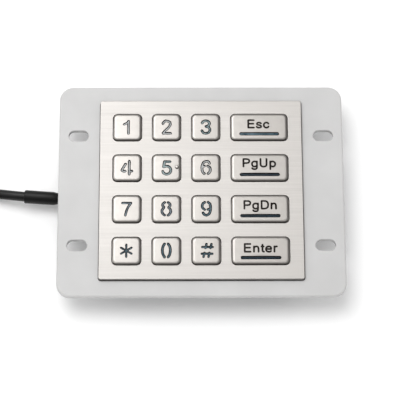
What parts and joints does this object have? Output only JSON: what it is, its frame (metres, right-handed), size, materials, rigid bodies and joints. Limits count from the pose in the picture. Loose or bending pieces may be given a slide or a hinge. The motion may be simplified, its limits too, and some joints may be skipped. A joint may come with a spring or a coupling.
{
  "type": "keypad access reader",
  "caption": "Metal keypad for access entry: sprung steel keys in a brushed steel panel on a frosted white mounting flange, with a sealed rear cover and a USB lead.",
  "frame": {"origin": "middle of the rear cover's back face, below the middle of the mounting flange", "axes": "+Z out of the key faces, +X to the right along the flange, +Y up the keypad from the bottom row of keys to the top row"},
  "size_m": [0.2672, 0.1133, 0.024],
  "materials": {
    "panel_steel": "stainless sheet, fine brushing along the long side",
    "key_metal": "satin metal with rounded edges",
    "frosted_white": "matte frosted moulding",
    "light_guide": "clear grey-blue moulding, flush in the legends",
    "silicone": "translucent silicone rubber",
    "board_green": "green solder mask",
    "black_plastic": "fine moulded texture",
    "connector_cream": "natural nylon",
    "cover_grey": "spark-textured moulding",
    "black_rubber": "soft closed-cell rubber",
    "plated_steel": "nickel plate",
    "cable_black": "satin PVC jacket"
  },
  "bodies": {
    "housing": {"front_panel": "panel_steel", "mounting_flange": "frosted_white", "rear_cover": "cover_grey", "cover_gasket": "black_rubber", "silicone_mat": "silicone", "circuit_board": "board_green", "controller_chip": "black_plastic", "cable_header": "connector_cream", "cable_boot": "cable_black", "inner_lead": "cable_black", "cable_sleeve": "black_plastic", "cable_lead": "cable_black", "cable_coil": "cable_black", "cable_tail": "cable_black", "cable_tie": "black_plastic", "plug_body": "black_plastic", "plug_shell": "plated_steel", "plug_tongue": "black_plastic", "cover_screw_1": "plated_steel", "board_screw_1": "plated_steel", "cover_screw_2": "plated_steel", "board_screw_2": "plated_steel", "cover_screw_3": "plated_steel", "board_screw_3": "plated_steel", "cover_screw_4": "plated_steel", "board_screw_4": "plated_steel"},
    "key_1": {"keycap_1": "key_metal", "light_guide_1": "light_guide"},
    "key_2": {"keycap_2": "key_metal", "light_guide_2": "light_guide"},
    "key_3": {"keycap_3": "key_metal", "light_guide_3": "light_guide"},
    "key_esc": {"keycap_esc": "key_metal", "light_guide_esc": "light_guide"},
    "key_4": {"keycap_4": "key_metal", "light_guide_4": "light_guide"},
    "key_5": {"keycap_5": "key_metal", "light_guide_5": "light_guide"},
    "key_6": {"keycap_6": "key_metal", "light_guide_6": "light_guide"},
    "key_page_up": {"keycap_page_up": "key_metal", "light_guide_page_up": "light_guide"},
    "key_7": {"keycap_7": "key_metal", "light_guide_7": "light_guide"},
    "key_8": {"keycap_8": "key_metal", "light_guide_8": "light_guide"},
    "key_9": {"keycap_9": "key_metal", "light_guide_9": "light_guide"},
    "key_page_down": {"keycap_page_down": "key_metal", "light_guide_page_down": "light_guide"},
    "key_star": {"keycap_star": "key_metal", "light_guide_star": "light_guide"},
    "key_0": {"keycap_0": "key_metal", "light_guide_0": "light_guide"},
    "key_hash": {"keycap_hash": "key_metal", "light_guide_hash": "light_guide"},
    "key_enter": {"keycap_enter": "key_metal", "light_guide_enter": "light_guide"}
  },
  "joints": [
    {"name": "key_1_press", "type": "slide", "parent": "housing", "child": "key_1", "axis": [0, 0, -1], "range_m": [0, 0.0009], "stiffness_N_per_m": 900, "springref_m": -0.0005, "deforming": ["silicone_mat"]},
    {"name": "key_2_press", "type": "slide", "parent": "housing", "child": "key_2", "axis": [0, 0, -1], "range_m": [0, 0.0009], "stiffness_N_per_m": 900, "springref_m": -0.0005, "deforming": ["silicone_mat"]},
    {"name": "key_3_press", "type": "slide", "parent": "housing", "child": "key_3", "axis": [0, 0, -1], "range_m": [0, 0.0009], "stiffness_N_per_m": 900, "springref_m": -0.0005, "deforming": ["silicone_mat"]},
    {"name": "key_esc_press", "type": "slide", "parent": "housing", "child": "key_esc", "axis": [0, 0, -1], "range_m": [0, 0.0009], "stiffness_N_per_m": 900, "springref_m": -0.0005, "deforming": ["silicone_mat"]},
    {"name": "key_4_press", "type": "slide", "parent": "housing", "child": "key_4", "axis": [0, 0, -1], "range_m": [0, 0.0009], "stiffness_N_per_m": 900, "springref_m": -0.0005, "deforming": ["silicone_mat"]},
    {"name": "key_5_press", "type": "slide", "parent": "housing", "child": "key_5", "axis": [0, 0, -1], "range_m": [0, 0.0009], "stiffness_N_per_m": 900, "springref_m": -0.0005, "deforming": ["silicone_mat"]},
    {"name": "key_6_press", "type": "slide", "parent": "housing", "child": "key_6", "axis": [0, 0, -1], "range_m": [0, 0.0009], "stiffness_N_per_m": 900, "springref_m": -0.0005, "deforming": ["silicone_mat"]},
    {"name": "key_page_up_press", "type": "slide", "parent": "housing", "child": "key_page_up", "axis": [0, 0, -1], "range_m": [0, 0.0009], "stiffness_N_per_m": 900, "springref_m": -0.0005, "deforming": ["silicone_mat"]},
    {"name": "key_7_press", "type": "slide", "parent": "housing", "child": "key_7", "axis": [0, 0, -1], "range_m": [0, 0.0009], "stiffness_N_per_m": 900, "springref_m": -0.0005, "deforming": ["silicone_mat"]},
    {"name": "key_8_press", "type": "slide", "parent": "housing", "child": "key_8", "axis": [0, 0, -1], "range_m": [0, 0.0009], "stiffness_N_per_m": 900, "springref_m": -0.0005, "deforming": ["silicone_mat"]},
    {"name": "key_9_press", "type": "slide", "parent": "housing", "child": "key_9", "axis": [0, 0, -1], "range_m": [0, 0.0009], "stiffness_N_per_m": 900, "springref_m": -0.0005, "deforming": ["silicone_mat"]},
    {"name": "key_page_down_press", "type": "slide", "parent": "housing", "child": "key_page_down", "axis": [0, 0, -1], "range_m": [0, 0.0009], "stiffness_N_per_m": 900, "springref_m": -0.0005, "deforming": ["silicone_mat"]},
    {"name": "key_star_press", "type": "slide", "parent": "housing", "child": "key_star", "axis": [0, 0, -1], "range_m": [0, 0.0009], "stiffness_N_per_m": 900, "springref_m": -0.0005, "deforming": ["silicone_mat"]},
    {"name": "key_0_press", "type": "slide", "parent": "housing", "child": "key_0", "axis": [0, 0, -1], "range_m": [0, 0.0009], "stiffness_N_per_m": 900, "springref_m": -0.0005, "deforming": ["silicone_mat"]},
    {"name": "key_hash_press", "type": "slide", "parent": "housing", "child": "key_hash", "axis": [0, 0, -1], "range_m": [0, 0.0009], "stiffness_N_per_m": 900, "springref_m": -0.0005, "deforming": ["silicone_mat"]},
    {"name": "key_enter_press", "type": "slide", "parent": "housing", "child": "key_enter", "axis": [0, 0, -1], "range_m": [0, 0.0009], "stiffness_N_per_m": 900, "springref_m": -0.0005, "deforming": ["silicone_mat"]}
  ]
}
